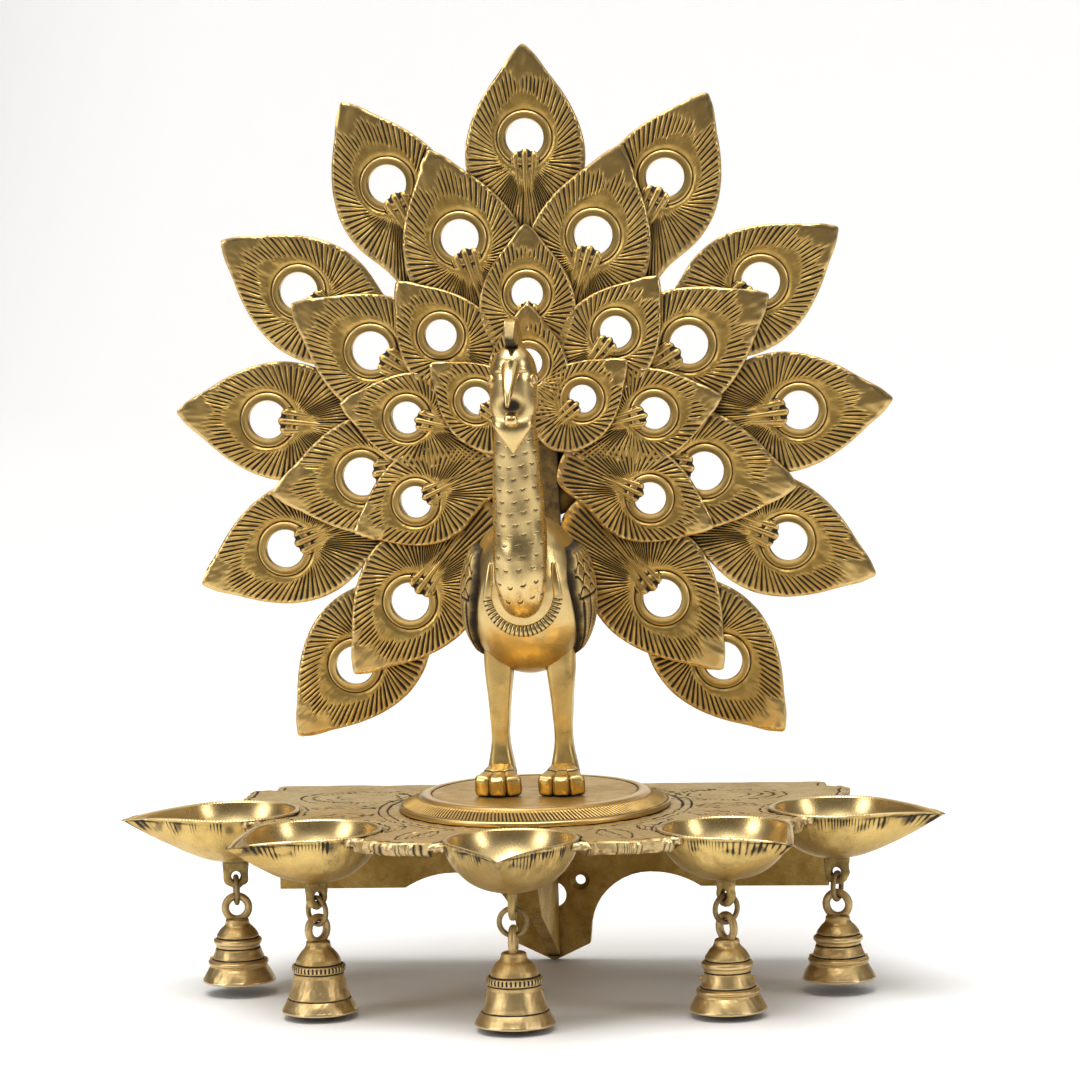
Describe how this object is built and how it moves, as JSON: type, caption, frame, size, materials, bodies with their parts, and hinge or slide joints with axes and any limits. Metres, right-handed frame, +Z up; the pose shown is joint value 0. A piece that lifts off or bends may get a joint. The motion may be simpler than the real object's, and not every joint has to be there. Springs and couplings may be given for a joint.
{
  "type": "wall oil lamp",
  "caption": "Cast brass peacock oil lamp: a half-round shelf plate on a wall bracket carries oil cups round its edge, with bells hung below them and a pierced fan tail above.",
  "frame": {"origin": "midway between the two wall screw holes, on the back face of the wall panel", "axes": "+X to the viewer's right, +Y back into the wall, +Z up; the bird and the spouts face -Y"},
  "size_m": [0.2756, 0.1581, 0.316],
  "materials": {
    "plate_brass": "cast, matt, dark in the engraving",
    "bracket_brass": "cast, dark patina",
    "disc_brass": "turned, satin, knurled rim",
    "cup_brass": "polished inside, patina outside",
    "peacock_brass": "cast and polished, dark recesses",
    "tail_brass": "cast, engraved, dark recesses",
    "bell_brass": "turned, satin",
    "link_brass": "bent wire, tarnished",
    "pin_brass": "wire, tarnished",
    "clapper_iron": "dark, rough",
    "screw_steel": "dull"
  },
  "bodies": {
    "lamp": {"base_plate": "plate_brass", "wall_panel": "bracket_brass", "bracket_rib": "bracket_brass", "pedestal_disc": "disc_brass", "peacock": "peacock_brass", "foot_screws": "screw_steel", "tail_fan": "tail_brass", "tail_screw": "screw_steel", "oil_cup_1": "cup_brass", "oil_cup_2": "cup_brass", "oil_cup_3": "cup_brass", "oil_cup_4": "cup_brass", "oil_cup_5": "cup_brass"},
    "ring_1": {"ring_link_1": "link_brass"},
    "bell_body_1": {"bell_1": "bell_brass", "clapper_pin_1": "pin_brass"},
    "clapper_body_1": {"clapper_1": "clapper_iron"},
    "ring_2": {"ring_link_2": "link_brass"},
    "bell_body_2": {"bell_2": "bell_brass", "clapper_pin_2": "pin_brass"},
    "clapper_body_2": {"clapper_2": "clapper_iron"},
    "ring_3": {"ring_link_3": "link_brass"},
    "bell_body_3": {"bell_3": "bell_brass", "clapper_pin_3": "pin_brass"},
    "clapper_body_3": {"clapper_3": "clapper_iron"},
    "ring_4": {"ring_link_4": "link_brass"},
    "bell_body_4": {"bell_4": "bell_brass", "clapper_pin_4": "pin_brass"},
    "clapper_body_4": {"clapper_4": "clapper_iron"},
    "ring_5": {"ring_link_5": "link_brass"},
    "bell_body_5": {"bell_5": "bell_brass", "clapper_pin_5": "pin_brass"},
    "clapper_body_5": {"clapper_5": "clapper_iron"}
  },
  "joints": [
    {"name": "ring_1_swing", "type": "hinge", "parent": "lamp", "child": "ring_1", "pos_m": [-0.101, -0.058, 0.0116], "axis": [0.2588, -0.9659, 0], "range_deg": [-40, 40]},
    {"name": "bell_1_swing", "type": "hinge", "parent": "ring_1", "child": "bell_body_1", "pos_m": [-0.101, -0.058, 0.00505], "axis": [-0.9659, -0.2588, 0], "range_deg": [-22, 22]},
    {"name": "clapper_1_swing", "type": "hinge", "parent": "bell_body_1", "child": "clapper_body_1", "pos_m": [-0.101, -0.058, -0.01615], "axis": [1, 0, 0], "range_deg": [-38, 38]},
    {"name": "ring_2_swing", "type": "hinge", "parent": "lamp", "child": "ring_2", "pos_m": [-0.067, -0.0985, 0.0116], "axis": [0.766, -0.6428, 0], "range_deg": [-40, 40]},
    {"name": "bell_2_swing", "type": "hinge", "parent": "ring_2", "child": "bell_body_2", "pos_m": [-0.067, -0.0985, 0.00505], "axis": [-0.6428, -0.766, 0], "range_deg": [-22, 22]},
    {"name": "clapper_2_swing", "type": "hinge", "parent": "bell_body_2", "child": "clapper_body_2", "pos_m": [-0.067, -0.0985, -0.01535], "axis": [1, 0, 0], "range_deg": [-38, 38]},
    {"name": "ring_3_swing", "type": "hinge", "parent": "lamp", "child": "ring_3", "pos_m": [0, -0.12, 0.0116], "axis": [1, 0, 0], "range_deg": [-40, 40]},
    {"name": "bell_3_swing", "type": "hinge", "parent": "ring_3", "child": "bell_body_3", "pos_m": [0, -0.12, 0.00505], "axis": [0, -1, 0], "range_deg": [-22, 22]},
    {"name": "clapper_3_swing", "type": "hinge", "parent": "bell_body_3", "child": "clapper_body_3", "pos_m": [0, -0.12, -0.01535], "axis": [1, 0, 0], "range_deg": [-38, 38]},
    {"name": "ring_4_swing", "type": "hinge", "parent": "lamp", "child": "ring_4", "pos_m": [0.067, -0.0985, 0.0116], "axis": [0.766, 0.6428, 0], "range_deg": [-40, 40]},
    {"name": "bell_4_swing", "type": "hinge", "parent": "ring_4", "child": "bell_body_4", "pos_m": [0.067, -0.0985, 0.00505], "axis": [0.6428, -0.766, 0], "range_deg": [-22, 22]},
    {"name": "clapper_4_swing", "type": "hinge", "parent": "bell_body_4", "child": "clapper_body_4", "pos_m": [0.067, -0.0985, -0.01535], "axis": [1, 0, 0], "range_deg": [-38, 38]},
    {"name": "ring_5_swing", "type": "hinge", "parent": "lamp", "child": "ring_5", "pos_m": [0.101, -0.058, 0.0116], "axis": [0.2588, 0.9659, 0], "range_deg": [-40, 40]},
    {"name": "bell_5_swing", "type": "hinge", "parent": "ring_5", "child": "bell_body_5", "pos_m": [0.101, -0.058, 0.00505], "axis": [0.9659, -0.2588, 0], "range_deg": [-22, 22]},
    {"name": "clapper_5_swing", "type": "hinge", "parent": "bell_body_5", "child": "clapper_body_5", "pos_m": [0.101, -0.058, -0.01615], "axis": [1, 0, 0], "range_deg": [-38, 38]}
  ]
}
